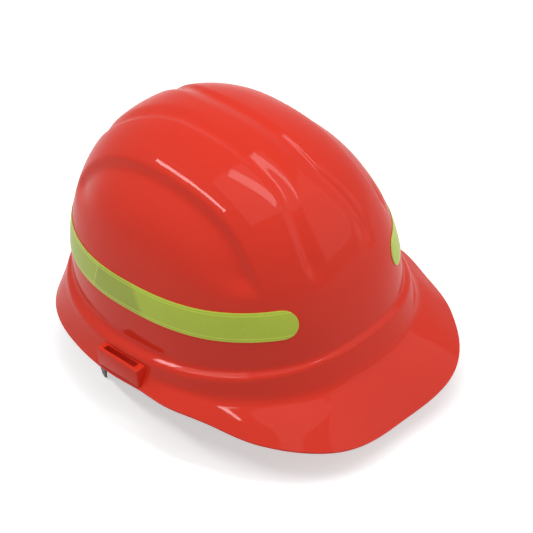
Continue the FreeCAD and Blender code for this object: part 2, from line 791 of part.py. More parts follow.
def rack_shape(sign):
    """Toothed strap: +1 is the left one, above the pinion; -1 the right one, below it."""
    pitch = math.pi * MODULE
    slant = math.tan(PRESS)
    wide = (pitch / 2 - THIN) / 2
    tip, root = 0.68, PITCH_R - RACK_LOW
    points = [(62.0, RACK_LOW), (62.0, RACK_HIGH), (-7.0, RACK_HIGH), (-7.0, RACK_LOW)]
    for n in range(-2, 6):
        x = (n + 0.5) * pitch
        points += [
            (x - wide + root * slant, PITCH_R - root),
            (x - wide + tip * slant, PITCH_R - tip),
            (x + wide - tip * slant, PITCH_R - tip),
            (x + wide - root * slant, PITCH_R - root),
        ]
    points = [V(sign * x, RY - RACK, RZ + sign * z) for x, z in points]
    return Part.Face(Part.makePolygon(points + points[:1])).extrude(V(0, 2 * RACK, 0))


def stop_tab(sign):
    tab = local_box(58, 62, RY - RACK, RY + RACK, RACK_LOW - 2.5, RACK_HIGH + 2.5)
    if sign < 0:
        tab = tab.mirror(V(0, 0, 0), V(1, 0, 0)).mirror(V(0, 0, 0), V(0, 0, 1))
    return tab.translate(V(0, 0, RZ))


for label, sign in (("toothed_strap_left", 1), ("toothed_strap_right", -1)):
    add_shape(label, rack_shape(sign).fuse(stop_tab(sign)).removeSplitter())

screws = []
for x, _ in SCREW_SPOTS:
    start = V(x, FLOOR - 1.5, RZ)
    shank = Part.makeCylinder(D["screw_radius"], HUB_Y + 0.05 - FLOOR + 1.5, start, V(0, 1, 0))
    head = Part.makeCylinder(2.8, 1.4, V(x, HUB_Y + 0.02, RZ), V(0, 1, 0))
    screws.append(shank.fuse(head))
add_shape("cover_screws", Part.makeCompound(screws))

SPRING_LOW, SPRING_HIGH = HUB_Y + 0.05, KNOB_Y + 3.6
profile = [
    V(-9.0, 0, 7.6), V(-4.5, 0, 10.4), V(-1.2, 0, 11.4), V(0, 0, 13.1), V(1.2, 0, 11.4), V(4.5, 0, 10.4),
    V(9.0, 0, 7.6), V(8.6, 0, 7.1), V(4.3, 0, 9.8), V(1.0, 0, 10.8), V(0, 0, 12.2), V(-1.0, 0, 10.8),
    V(-4.3, 0, 9.8), V(-8.6, 0, 7.1), V(-9.0, 0, 7.6),
]
leaf = Part.Face(Part.makePolygon(profile)).extrude(V(0, SPRING_HIGH - SPRING_LOW, 0))
leaf.translate(V(0, SPRING_LOW, RZ))
add_shape("detent_spring", leaf)

pad = doc.addObject("Part::Box", "nape_pad")
pad.Label = "nape_pad"
bind(pad, Length="Dimensions.housing_half * 2 - 4", Height="Dimensions.housing_height - 4")
pad.Width = 4.0
doc.recompute()
pad.Placement = FreeCAD.Placement(
    V(-pad.Length.Value / 2, FLOOR - FLOOR_THICK - 4.3, RZ - pad.Height.Value / 2), FreeCAD.Rotation()
)
doc.recompute()

# ---------------------------------------------------------------- check and write
os.makedirs("parts", exist_ok=True)
for item in doc.Objects:
    bad = [word for word in item.State if word in ("Invalid", "Error")]
    if bad:
        raise RuntimeError("%s: %s" % (item.Label, item.State))
pieces = []
for item in doc.Objects:
    inside = item.isDerivedFrom("PartDesign::Feature") or item.isDerivedFrom("Sketcher::SketchObject")
    if item.isDerivedFrom("Part::Feature") and not inside:
        if item.isDerivedFrom("PartDesign::Body") or not item.InList:
            pieces.append(item)
for item in pieces:
    shape = item.Shape
    if not shape.isValid() or shape.Volume <= 0:
        raise RuntimeError("%s isn't a sound solid" % item.Label)
    print(item.Label, len(shape.Solids), round(shape.Volume))
    shape.exportStep("parts/%s.step" % item.Label)
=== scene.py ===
import bmesh
import bpy
import math
from mathutils import Matrix, Vector


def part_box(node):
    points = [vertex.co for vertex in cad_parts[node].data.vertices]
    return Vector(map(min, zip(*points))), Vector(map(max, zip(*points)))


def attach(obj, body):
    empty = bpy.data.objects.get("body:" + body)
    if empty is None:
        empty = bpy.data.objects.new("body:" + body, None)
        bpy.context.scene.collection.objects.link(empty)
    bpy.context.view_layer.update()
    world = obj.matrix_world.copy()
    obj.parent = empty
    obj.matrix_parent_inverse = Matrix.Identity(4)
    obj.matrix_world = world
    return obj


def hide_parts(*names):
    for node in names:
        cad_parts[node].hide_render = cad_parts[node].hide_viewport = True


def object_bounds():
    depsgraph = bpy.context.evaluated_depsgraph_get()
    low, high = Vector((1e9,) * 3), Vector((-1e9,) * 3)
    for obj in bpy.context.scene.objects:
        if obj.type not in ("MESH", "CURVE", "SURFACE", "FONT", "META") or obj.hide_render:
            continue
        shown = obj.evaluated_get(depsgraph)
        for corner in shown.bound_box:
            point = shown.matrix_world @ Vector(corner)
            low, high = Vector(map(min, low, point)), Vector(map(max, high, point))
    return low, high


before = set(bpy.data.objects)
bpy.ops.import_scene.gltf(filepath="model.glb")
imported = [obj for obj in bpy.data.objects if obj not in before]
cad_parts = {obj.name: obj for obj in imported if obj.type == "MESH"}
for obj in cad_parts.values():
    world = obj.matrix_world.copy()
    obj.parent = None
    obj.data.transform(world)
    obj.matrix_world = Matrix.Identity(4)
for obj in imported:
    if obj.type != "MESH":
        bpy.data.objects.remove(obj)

cad_low, cad_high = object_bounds()
MM = 0.001


# ------------------------------------------------------------------ working in Blender
def start_piece(name):
    """Name the primitive that was just added and open it for editing, all of it selected."""
    piece = bpy.context.object
    piece.name = name
    piece.data.name = name
    bpy.ops.object.mode_set(mode="EDIT")
    bpy.ops.mesh.select_all(action="SELECT")
    return piece


def nothing_selected():
    bpy.ops.object.select_all(action="DESELECT")


def only(piece):
    nothing_selected()
    piece.select_set(True)
    bpy.context.view_layer.objects.active = piece


def turn_outwards():
    """Make all faces of the piece being edited point outwards."""
    bpy.ops.mesh.select_all(action="SELECT")
    bpy.ops.mesh.normals_make_consistent(inside=False)


def close_piece(piece, angle):
    """Leave edit mode with normals outwards, at the origin, smooth but for sharp edges."""
    turn_outwards()
    bpy.ops.object.mode_set(mode="OBJECT")
    only(piece)
    bpy.ops.object.transform_apply(location=True, rotation=True, scale=True)
    bpy.ops.object.shade_smooth_by_angle(angle=math.radians(angle))
    return piece


def modify(piece, kind, **settings):
    """Add one modifier and apply it."""
    only(piece)
    modifier = piece.modifiers.new(kind.title(), kind)
    for key, value in settings.items():
        setattr(modifier, key, value)
    bpy.ops.object.modifier_apply(modifier=modifier.name)


def move_points(piece, place):
    """Move each point of the piece in edit mode to place(point)."""
    shape = bmesh.from_edit_mesh(piece.data)
    for point in shape.verts:
        point.co = place(point.co)
    bmesh.update_edit_mesh(piece.data)


def lay_grid(name, columns, rows, lay):
    """Grid laid out by lay(point), which gives each point's place and its UV, both in mm."""
    nothing_selected()
    bpy.ops.mesh.primitive_grid_add(x_subdivisions=columns, y_subdivisions=rows, size=1)
    piece = start_piece(name)
    shape = bmesh.from_edit_mesh(piece.data)
    layer = shape.loops.layers.uv.verify()
    spots = {}
    for point in shape.verts:
        place, spots[point.index] = lay(point.co)
        point.co = place * MM
    for face in shape.faces:
        for corner in face.loops:
            corner[layer].uv = spots[corner.vert.index]
    bmesh.update_edit_mesh(piece.data)
    return piece


def join(pieces):
    """One piece of several, named after the first."""
    nothing_selected()
    for piece in pieces:
        piece.select_set(True)
    bpy.context.view_layer.objects.active = pieces[0]
    bpy.ops.object.join()
    return pieces[0]


# ------------------------------------------------------------------ the helmet's form, in mm
# Directions are degrees round the helmet: 0 at the front, 90 at the wearer's left, 180 behind.
# Each list below gives values at LEVELS_AT or, for the brim's edge radius, at EDGE_AT.
CROWN = 153.5
WALL = 2.5
DOME_HALF_WIDE, DOME_FRONT, DOME_REAR = 97.8, 125.0, 122.0
FRONT_POWER, REAR_POWER, CROWN_POWER = 2.35, 2.2, 2.35
DRAFT = 0.023
DOME_FOOT = 0.93
LEVELS_AT = [0, 30, 60, 90, 120, 150, 180]
EDGE_AT = [0, 20, 38, 52, 66, 80, 95, 115, 140, 160, 180]
EDGE_RADIUS = [161, 166, 150.5, 133.5, 124, 114.5, 113, 117, 129.5, 131.5, 131]
EDGE_LEVEL = [-25, -14, -2, -4, -6.5, -5, -3]
CREASE_LEVEL = [30.5, 28, 22.5, 20.5, 19.8, 21, 21.5]
STEP_OUT = [3.5, 4.8, 6.8, 7.5, 6.6, 4.2, 3.2]
STEP_DROP = [2.4, 2.5, 3.2, 4.2, 4.0, 2.6, 2.4]
ROOT_LEVEL = [7.5, 7.2, 6.4, 6.6, 10.5, 13, 13]
ROOT_OUT = [4.1, 3.2, 1.8, 1.2, 1.3, 1.7, 2.0]
BRIM_BULGE = [1.5, 1.2, 0.2, -1.2, -1.0, -0.4, 0]
BRIM_ROUND, ROOT_ROUND, STEP_ROUND, CREASE_ROUND, EDGE_SWELL = 30.0, 5.0, 3.2, 2.6, 0.7

# Crown grooves: the lobe between them runs from LOBE_INNER to LOBE_OUTER on each side.
LOBE_INNER, LOBE_OUTER = 21.0, 53.8
INNER_DEEP, INNER_STEEP, INNER_GENTLE = 2.4, 3.4, 14.0
OUTER_DEEP, OUTER_STEEP, OUTER_GENTLE = 4.6, 3.6, 25.0
GROOVES_FROM, GROOVES_FULL = 80.0, 96.0


def even_curve(knots, values, degrees):
    """Smooth curve through values at knots, even about 0 and 180 degrees."""
    a = abs((degrees + 180.0) % 360.0 - 180.0)
    slopes = [0.0] * len(knots)
    for i in range(1, len(knots) - 1):
        slopes[i] = (values[i + 1] - values[i - 1]) / (knots[i + 1] - knots[i - 1])
    for i in range(len(knots) - 1):
        if a <= knots[i + 1] or i == len(knots) - 2:
            w = knots[i + 1] - knots[i]
            u = (a - knots[i]) / w
            return (
                (1 + 2 * u) * (1 - u) ** 2 * values[i]
                + u * (1 - u) ** 2 * w * slopes[i]
                + u * u * (3 - 2 * u) * values[i + 1]
                + u * u * (u - 1) * w * slopes[i + 1]
            )


def level(values, degrees):
    """Value at a direction round the helmet, from a list given at LEVELS_AT."""
    return even_curve(LEVELS_AT, values, degrees)


def oval(degrees, half_wide, half_long, power):
    """Radius of a full oval in one direction: a higher power makes it squarer."""
    t = math.radians(degrees)
    across = abs(math.sin(t)) / half_wide
    along = abs(math.cos(t)) / half_long
    return (across ** power + along ** power) ** (-1.0 / power)


def ahead(degrees):
    return math.cos(math.radians(degrees)) > 0


def base_radius(degrees):
    """Radius of the dome where it meets the rain edge."""
    if ahead(degrees):
        return oval(degrees, DOME_HALF_WIDE, DOME_FRONT, FRONT_POWER)
    return oval(degrees, DOME_HALF_WIDE, DOME_REAR, REAR_POWER)


def polar(degrees, radius, z):
    """Point at a direction, a distance from the middle and a height."""
    t = math.radians(degrees)
    return Vector((radius * math.sin(t), -radius * math.cos(t), z))


def smooth(x):
    """Even step from 0 to 1 as x goes from 0 to 1."""
    x = min(max(x, 0.0), 1.0)
    return x * x * (3 - 2 * x)


def drop(offset, steep, gentle):
    """Cross-section of the groove beside a lobe: sharp edge, quick fall, slow rise."""
    if offset <= 0:
        return 0.0
    return (1.0 - math.exp(-((offset / steep) ** 2))) * (1.0 - smooth((offset - steep) / gentle))


def groove(p):
    """Depth of the crown grooves at a point of the plain dome."""
    side = abs(p.x)
    fade = smooth((p.z - GROOVES_FROM) / (GROOVES_FULL - GROOVES_FROM))
    inner = LOBE_INNER + 10.0 * smooth((-p.y - 70.0) / 40.0) + 11.0 * smooth((p.y - 15.0) / 70.0)
    outer = LOBE_OUTER + 4.0 * smooth((-p.y - 65.0) / 35.0)
    depth = INNER_DEEP * drop(inner - side, INNER_STEEP, INNER_GENTLE)
    depth += OUTER_DEEP * drop(side - outer, OUTER_STEEP, OUTER_GENTLE)
    return fade * depth


def dome_at(degrees, s):
    """Outer face of the dome: s is 1 at the base and 0 at the top of the crown."""
    radius = base_radius(degrees)
    base = level(CREASE_LEVEL, degrees)
    rise = CROWN - base
    angle = math.pi / 2 * (1.0 - s)
    c, e = math.cos(angle), math.sin(angle)
    reach = ((c / radius) ** CROWN_POWER + (e / rise) ** CROWN_POWER) ** (-1.0 / CROWN_POWER)
    flat, z = reach * c, base + reach * e
    flat *= 1.0 - DRAFT * (z - base) / rise
    point = polar(degrees, flat, z)
    away = (point - Vector((0, 0, 20))).normalized()
    return point - away * groove(point)


def wall_at(degrees, z):
    """Point of the plain dome wall at a height."""
    radius = base_radius(degrees)
    base = level(CREASE_LEVEL, degrees)
    rise = CROWN - base
    h = (z - base) / rise
    flat = radius * (1.0 - h ** CROWN_POWER) ** (1.0 / CROWN_POWER) * (1.0 - DRAFT * h)
    return polar(degrees, flat, z)


def brim_corners(degrees):
    """Corners of the stepped rain edge and brim, from the dome outwards: (radius, height)."""
    base = base_radius(degrees)
    crease = level(CREASE_LEVEL, degrees)
    out = level(STEP_OUT, degrees)
    root = out + level(ROOT_OUT, degrees)
    root_z = level(ROOT_LEVEL, degrees)
    edge = even_curve(EDGE_AT, EDGE_RADIUS, degrees)
    edge_z = level(EDGE_LEVEL, degrees)
    middle = base + root + (edge - base - root) * 0.5
    middle_z = (root_z + edge_z) / 2 + level(BRIM_BULGE, degrees)
    return [
        (base, crease),
        (base + out, crease - level(STEP_DROP, degrees)),
        (base + root, root_z),
        (middle, middle_z),
        (edge, edge_z),
    ]


def set_in(points, thick):
    """The same folded line moved inwards by the wall thickness."""
    inner = []
    for i, (r, z) in enumerate(points):
        turns = []
        if i > 0:
            turns.append((r - points[i - 1][0], z - points[i - 1][1]))
        if i < len(points) - 1:
            turns.append((points[i + 1][0] - r, points[i + 1][1] - z))
        normals = [(dz / math.hypot(dr, dz), -dr / math.hypot(dr, dz)) for dr, dz in turns]
        nr = sum(n[0] for n in normals) / len(normals)
        nz = sum(n[1] for n in normals) / len(normals)
        size = nr * nr + nz * nz
        inner.append((r + thick * nr / size, z + thick * nz / size))
    return inner


def round_corner(before, corner, after, radius, count):
    """Points of a small curve that rounds one corner of a section."""
    a, b, c = Vector(before), Vector(corner), Vector(after)
    reach = min(radius, (a - b).length * 0.45, (c - b).length * 0.45)
    p = b + (a - b).normalized() * reach
    q = b + (c - b).normalized() * reach
    points = []
    for i in range(count + 1):
        u = i / count
        points.append(tuple(p * (1 - u) ** 2 + b * 2 * u * (1 - u) + q * u * u))
    return points


def outer_section(degrees):
    """Outer face from the brim edge in to the foot of the dome, with its rounded corners."""
    crease, step, root, middle, edge = brim_corners(degrees)
    lift = dome_at(degrees, DOME_FOOT)
    above = (math.hypot(lift.x, lift.y), lift.z)
    points = [edge]
    points += round_corner(edge, middle, root, BRIM_ROUND, 6)
    points += round_corner(middle, root, step, ROOT_ROUND, 5)
    points += round_corner(root, step, crease, STEP_ROUND, 6)
    points += round_corner(step, crease, above, CREASE_ROUND, 5)
    return points


def inner_section(degrees):
    """Inner face from the foot of the dome out to the brim edge."""
    crease, step, root, middle, edge = set_in(brim_corners(degrees), WALL)
    lift = dome_at(degrees, DOME_FOOT)
    above = (math.hypot(lift.x, lift.y) - WALL, lift.z)
    return [above, (crease[0] - 0.4, crease[1]), step, root, middle, edge]


# ------------------------------------------------------------------ shell
AROUND, DOME_RINGS, INNER_RINGS = 384, 104, 30
DOME_START = 0.972


def shell_profile(degrees):
    """One full section of the shell: inner crown, inner wall, brim edge, outer wall, outer crown."""
    inner_dome = []
    for k in range(1, INNER_RINGS + 1):
        s = DOME_FOOT * k / INNER_RINGS
        p = dome_at(degrees, s)
        q = dome_at(degrees, s - 0.002)
        up = Vector((math.hypot(q.x, q.y) - math.hypot(p.x, p.y), q.z - p.z)).normalized()
        inner_dome.append((math.hypot(p.x, p.y) - WALL * up.y, p.z + WALL * up.x))
    section = inner_dome[:-1] + inner_section(degrees)
    outer = outer_section(degrees)
    low, high = section[-1], outer[0]
    middle = ((low[0] + high[0]) / 2, (low[1] + high[1]) / 2)
    swell = ((outer[0][0] - outer[1][0]), (outer[0][1] - outer[1][1]))
    size = math.hypot(*swell)
    tip = (middle[0] + swell[0] / size * EDGE_SWELL, middle[1] + swell[1] / size * EDGE_SWELL)
    section += [
        (low[0] * 0.6 + tip[0] * 0.4 + 0.1, low[1] * 0.6 + tip[1] * 0.4),
        tip,
        (high[0] * 0.6 + tip[0] * 0.4, high[1] * 0.6 + tip[1] * 0.4),
    ]
    section += outer
    for k in range(1, DOME_RINGS):
        p = dome_at(degrees, (1 - k / DOME_RINGS) * DOME_START)
        section.append((math.hypot(p.x, p.y), p.z))
    return section


def make_shell():
    """Moulded shell: rings drawn out one after another from the inner crown to the outer one."""
    nothing_selected()
    bpy.ops.mesh.primitive_circle_add(vertices=AROUND, radius=0.01)
    shell = start_piece("helmet_shell")
    turn = 360.0 / AROUND
    profiles = [shell_profile(i * turn) for i in range(AROUND)]

    def settle(ring):
        """Put the ring that was just drawn out in its place on the section."""
        drawn = bmesh.from_edit_mesh(shell.data)
        for point in drawn.verts:
            if point.select:
                a = math.degrees(math.atan2(point.co.x, -point.co.y))
                r, z = profiles[round(a / turn) % AROUND][ring]
                point.co = polar(a, r, z) * MM
        bmesh.update_edit_mesh(shell.data)

    settle(0)
    bpy.ops.mesh.extrude_region_move()
    bpy.ops.mesh.merge(type="CENTER")
    first = bmesh.from_edit_mesh(shell.data)
    for point in first.verts:
        point.select = point.is_boundary or len(point.link_edges) == 3
    top = max(first.verts, key=lambda p: len(p.link_edges))
    top.select = False
    for edge in first.edges:
        edge.select = all(v.select for v in edge.verts)
    bmesh.update_edit_mesh(shell.data)
    for ring in range(1, len(profiles[0])):
        bpy.ops.mesh.extrude_edges_move()
        settle(ring)
    bpy.ops.mesh.extrude_edges_move()
    bpy.ops.mesh.merge(type="CENTER")
    return close_piece(shell, 40)


# ------------------------------------------------------------------ finishes
class Signal:
    """One socket's value, so that shader maths reads as plain arithmetic."""

    def __init__(self, finish, socket):
        self.finish = finish
        self.socket = socket

    def work(self, operation, first, second):
        return self.finish.add("Math", {"operation": operation}, {0: first, 1: second})

    def __add__(self, other):
        return self.work("ADD", self, other)

    def __radd__(self, other):
        return self.work("ADD", other, self)

    def __sub__(self, other):
        return self.work("SUBTRACT", self, other)

    def __rsub__(self, other):
        return self.work("SUBTRACT", other, self)

    def __mul__(self, other):
        return self.work("MULTIPLY", self, other)

    def __rmul__(self, other):
        return self.work("MULTIPLY", other, self)

    def __truediv__(self, other):
        return self.work("DIVIDE", self, other)

    def __gt__(self, other):
        return self.work("GREATER_THAN", self, other)

    def __lt__(self, other):
        return self.work("LESS_THAN", self, other)

    def distance(self, other):
        return self.work("ABSOLUTE", self - other, 0.0)

    def near(self, place, width):
        """1 at place, fading to 0 at width from it."""
        return self.work("MAXIMUM", 1 - self.distance(place) / width, 0.0)


class Finish:
    """A material in the making, with one method that adds any node."""

    def __init__(self, name):
        self.material = bpy.data.materials.new(name)
        self.material.use_nodes = True
        self.tree = self.material.node_tree
        self.tree.nodes.clear()

    def add(self, kind, settings=None, values=None, output=0):
        """Add a node, set its settings, link or set its inputs, and give one output back."""
        node = self.tree.nodes.new("ShaderNode" + kind)
        for key, value in (settings or {}).items():
            setattr(node, key, value)
        for key, value in (values or {}).items():
            if isinstance(value, Signal):
                self.tree.links.new(value.socket, node.inputs[key])
            else:
                node.inputs[key].default_value = value
        return Signal(self, node.outputs[output] if node.outputs else None)

    def place(self, kind="Object"):
        """Where on the piece: Object coordinates in metres, or the UV map in millimetres."""
        outputs = {"Object": 3, "UV": 2}
        return self.add("TexCoord", output=outputs[kind])

    def noise(self, where, scale, detail=2.0, rough=0.5):
        values = {"Vector": where, "Scale": scale, "Detail": detail, "Roughness": rough}
        return self.add("TexNoise", None, values)

    def waves(self, where, direction, scale, distortion=0.0):
        values = {"Vector": where, "Scale": scale, "Distortion": distortion}
        return self.add("TexWave", {"bands_direction": direction}, values)

    def cells(self, where, scale):
        return self.add("TexVoronoi", {"feature": "F1"}, {"Vector": where, "Scale": scale})

    def blend(self, first, second, amount):
        """Mixed colour: first at amount 0, second at 1."""
        return self.add("Mix", {"data_type": "RGBA"}, {0: amount, 6: first, 7: second}, output=2)

    def split(self, where):
        parts = self.add("SeparateXYZ", None, {"Vector": where})
        node = parts.socket.node
        return [Signal(self, node.outputs[k]) for k in range(3)]

    def bump(self, height, distance, strength=1.0, under=None):
        values = {"Height": height, "Distance": distance, "Strength": strength}
        if under:
            values["Normal"] = under
        return self.add("Bump", None, values)

    def surface(self, values):
        shader = self.add("BsdfPrincipled", None, values)
        self.add("OutputMaterial", None, {"Surface": shader})
        return self.material


def shade(red, green, blue):
    """Screen colour, 0 to 255, as the linear colour a shader takes."""
    linear = [((c / 255 + 0.055) / 1.055) ** 2.4 for c in (red, green, blue)]
    return (*linear, 1.0)


def shell_finish():
    """Gloss moulded plastic, red-orange, with the faint ripple of a moulding."""
    f = Finish("shell_red")
    where = f.place()
    broad = f.noise(where, 9.0, 2.0)
    fine = f.noise(where, 900.0, 2.0)
    ripple = f.noise(where, 210.0, 1.0)
    colour = f.blend(shade(226, 52, 33), shade(233, 60, 39), broad)
    under = f.bump(ripple, 0.00004, 0.35)
    return f.surface({
        "Base Color": colour,
        "Roughness": 0.34 + 0.06 * fine + 0.05 * broad,
        "Normal": f.bump(fine, 0.00001, 0.3, under),
        "Specular IOR Level": 0.02,
        "Coat Weight": 0.26,
        "Coat Roughness": 0.03,
    })


def strip_finish(width):
    """Lime prismatic film: sealed rim, one darker cell with a slanting end, tiny prisms, and a
    painted highlight along both long edges.
    """
    f = Finish("reflective_lime")
    where = f.place("UV")
    along, up, _ = f.split(where)
    prisms = f.cells(where, 0.9)
    patches = f.noise(where, 0.05, 2.0)
    rim_in, cell_from, cell_to = 2.4, 118.0, 168.0
    rim = up.near(rim_in, 0.7) + up.near(width - rim_in, 0.7)
    slant = along - up * 0.55
    joint = along + up * 0.25
    wall = joint.near(cell_to, 0.6)
    start = slant.near(cell_from, 6.0) + (slant > cell_from)
    cell = f.add("Math", {"operation": "MINIMUM"}, {0: start, 1: 1.0}) * (joint < cell_to)
    behind = joint > cell_to
    # Painted highlight: the outer millimetre along both long edges, marked here to be made lighter
    # as if lit.
    edge = (up > width - 1.1) + (up < 0.9)
    base = f.blend(shade(186, 208, 66), shade(200, 220, 78), patches)
    base = f.blend(base, shade(150, 160, 58), cell * 0.6 + behind * 0.35)
    base = f.blend(base, shade(160, 178, 52), (1.0 - prisms) * 0.25)
    base = f.blend(base, shade(222, 240, 92), (rim + wall) * 0.8)
    # Paints the highlight along both long edges.
    base = f.blend(base, shade(214, 230, 80), edge * 0.7)
    raised = f.bump(rim + wall, 0.0002, 0.6)
    return f.surface({
        "Base Color": base,
        "Roughness": 0.4 + 0.12 * prisms,
        "Normal": f.bump(prisms, 0.00005, 0.35, raised),
        "Specular IOR Level": 0.25,
        "Coat Weight": 0.12,
        "Coat Roughness": 0.2,
    })


def plastic_finish(name, dark, light, rough, grain=900.0, depth=0.00003):
    """Satin moulded plastic with a fine spark-eroded grain."""
    f = Finish(name)
    where = f.place()
    speck = f.noise(where, grain, 3.0)
    broad = f.noise(where, 25.0, 2.0)
    return f.surface({
        "Base Color": f.blend(dark, light, broad),
        "Roughness": rough + 0.12 * speck,
        "Normal": f.bump(speck, depth, 0.5),
    })


def metal_finish(name, colour, rough):
    """Plated metal with fine drawn lines."""
    f = Finish(name)
    where = f.place()
    lines = f.waves(where, "Z", 900.0, 2.0)
    stain = f.noise(where, 180.0, 2.0)
    worn = tuple(c * 0.8 for c in colour[:3]) + (1.0,)
    return f.surface({
        "Base Color": f.blend(colour, worn, stain),
        "Metallic": 1.0,
        "Roughness": rough + 0.12 * stain,
        "Normal": f.bump(lines, 0.00001, 0.3),
    })


def webbing_finish(width):
    """Woven polyester webbing: slanting ribs, closed selvedges."""
    f = Finish("webbing")
    where = f.place("UV")
    across = f.split(where)[1]
    ribs = f.waves(where, "X", 0.32)
    picks = f.waves(where, "Y", 0.5)
    hairs = f.noise(where, 2.2, 4.0)
    selvedge = 0.8
    edge = across.near(selvedge, selvedge) + across.near(width - selvedge, selvedge)
    weave = ribs * 0.6 + picks * 0.4
    colour = f.blend(shade(40, 40, 43), shade(72, 72, 76), weave * 0.7 + hairs * 0.3)
    colour = f.blend(colour, shade(34, 34, 37), edge * 0.5)
    return f.surface({
        "Base Color": colour,
        "Roughness": 0.78 + 0.15 * hairs,
        "Normal": f.bump(weave + edge * 0.4, 0.0003, 0.7),
        "Sheen Weight": 0.25,
    })


def cloth_finish(name, dark, light, scale):
    """Knitted towelling over foam."""
    f = Finish(name)
    where = f.place()
    loops = f.cells(where, scale)
    fuzz = f.noise(where, scale * 1.7, 4.0, 0.65)
    return f.surface({
        "Base Color": f.blend(dark, light, fuzz * 0.7 + loops * 0.5),
        "Roughness": 0.85 + 0.12 * fuzz,
        "Normal": f.bump(loops + fuzz, 0.0004, 0.6),
        "Sheen Weight": 0.4,
    })


WEB_WIDE, WEB_THICK = 18.0, 1.3
STRIP_WIDE, STRIP_THICK = 21.5, 0.5
finishes = {
    "shell_red": shell_finish(),
    "suspension_grey": plastic_finish("suspension_grey", shade(84, 72, 73), shade(98, 85, 86), 0.42),
    "stud_black": plastic_finish("stud_black", shade(26, 26, 27), shade(34, 34, 35), 0.38),
    "sweat_pad": cloth_finish("sweat_pad", shade(38, 38, 41), shade(66, 66, 70), 700.0),
    "patch": cloth_finish("patch", shade(30, 30, 32), shade(52, 52, 55), 1200.0),
    "crown_foam": cloth_finish("crown_foam", shade(58, 58, 61), shade(92, 92, 96), 900.0),
    "ratchet_black": plastic_finish("ratchet_black", shade(30, 30, 31), shade(40, 40, 41), 0.45),
    "knob_black": plastic_finish(
        "knob_black", shade(24, 24, 25), shade(34, 34, 35), 0.5, grain=600.0, depth=0.00005
    ),
    "pinion_white": plastic_finish("pinion_white", shade(196, 195, 188), shade(212, 211, 204), 0.4),
    "steel": metal_finish("steel", shade(186, 186, 188), 0.28),
    "spring_steel": metal_finish("spring_steel", shade(168, 168, 172), 0.22),
    "webbing": webbing_finish(WEB_WIDE),
    "reflective_lime": strip_finish(STRIP_WIDE),
}


def paint(piece, name):
    piece.data.materials.clear()
    piece.data.materials.append(finishes[name])


def smooth_faces(piece, angle):
    """Shade smooth except along edges sharper than the angle."""
    only(piece)
    bpy.ops.object.shade_smooth_by_angle(angle=math.radians(angle))


def settle_piece(piece, finish, *nodes):
    """Give a finished piece its material, its body and the CAD nodes it stands for."""
    paint(piece, finish)
    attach(piece, "helmet")
    if nodes:
        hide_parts(*nodes)


# ------------------------------------------------------------------ shell and its slot blocks
BLOCK_FACE, BLOCK_IN, BLOCK_LONG, BLOCK_TOP, BLOCK_TALL = 113.0, 10.5, 41.0, 13.0, 14.5
BLOCK_Y = -1.0
SLOT_LONG, SLOT_WIDE, SLOT_LIP = 31.0, 4.4, 2.5
SHELL_SHARP = 35


def add_box(name, low, high):
    """Box between two corners, in mm, left in object mode."""
    nothing_selected()
    size = [(b - a) * MM for a, b in zip(low, high)]
    middle = [(a + b) / 2 * MM for a, b in zip(low, high)]
    bpy.ops.mesh.primitive_cube_add(size=1, location=middle, scale=size)
    bpy.ops.object.transform_apply(location=True, rotation=True, scale=True)
    piece = bpy.context.object
    piece.name = name
    return piece


def soften(piece, width, segments=3, angle=40):
    """Round the piece's sharp edges; width in mm."""
    modify(piece, "BEVEL", width=width * MM, segments=segments, angle_limit=math.radians(angle))


def cut(piece, tool, operation="DIFFERENCE"):
    """Take one solid away from a piece, or join it on, and remove the tool."""
    modify(piece, "BOOLEAN", object=tool, operation=operation, solver="EXACT")
    bpy.data.objects.remove(tool, do_unlink=True)


def add_slot_block(shell, side):
    """Block on the rain edge with a slot right through for an accessory's tongue."""

    def box(name, inner, outer, long, low, high):
        near, far = sorted((side * inner, side * outer))
        return add_box(name, (near, BLOCK_Y - long / 2, low), (far, BLOCK_Y + long / 2, high))

    block = box(
        "block", BLOCK_FACE - BLOCK_IN, BLOCK_FACE, BLOCK_LONG, BLOCK_TOP - BLOCK_TALL, BLOCK_TOP
    )
    soften(block, 1.3)
    cut(shell, block, "UNION")
    outer = BLOCK_FACE - SLOT_LIP
    slot = box("slot", outer - SLOT_WIDE, outer, SLOT_LONG, BLOCK_TOP - 40, BLOCK_TOP + 3)
    soften(slot, 0.7)
    cut(shell, slot)


def site(degrees, z):
    """Frame on the dome's base outline: local +X points straight out of the shell."""
    a = polar(degrees - 0.5, base_radius(degrees - 0.5), 0)
    b = polar(degrees + 0.5, base_radius(degrees + 0.5), 0)
    tangent = (b - a).normalized()
    out = Vector((tangent.y, -tangent.x, 0))
    spot = polar(degrees, base_radius(degrees), z)
    turn = Matrix((out, tangent, Vector((0, 0, 1)))).transposed().to_4x4()
    return Matrix.Translation(spot * MM) @ turn


def key_socket(name, degrees):
    """Pocket moulded inside the wall for one suspension key."""
    crease = level(CREASE_LEVEL, degrees)
    piece = add_box(name, (-7.4, -13, -5), (-1.0, 13, 16))
    soften(piece, 0.8)
    pocket = add_box("pocket", (-5.6, -10.4, -20), (-2.8, 10.4, 13))
    cut(piece, pocket)
    piece.data.transform(site(degrees, crease))
    smooth_faces(piece, SHELL_SHARP)
    settle_piece(piece, "shell_red")


shell = make_shell()
add_slot_block(shell, 1)
add_slot_block(shell, -1)
smooth_faces(shell, SHELL_SHARP)
settle_piece(shell, "shell_red", "shell")
KEY_AT = {"front_left": 47.0, "front_right": -47.0, "rear_left": 117.0, "rear_right": -117.0}
for name, degrees in KEY_AT.items():
    key_socket("key_socket_" + name, degrees)


# ------------------------------------------------------------------ reflective strips
STRIP_RISE = [18.6, 22.5, 25.5, 26, 25, 22.5, 20]
STRIP_FROM, STRIP_TO = 21.5, 166.0
STRIP_COLUMNS, STRIP_ROWS = 240, 22


def strip_low(degrees):
    """Height of the strip's lower edge."""
    return level(CREASE_LEVEL, degrees) + level(STRIP_RISE, degrees)


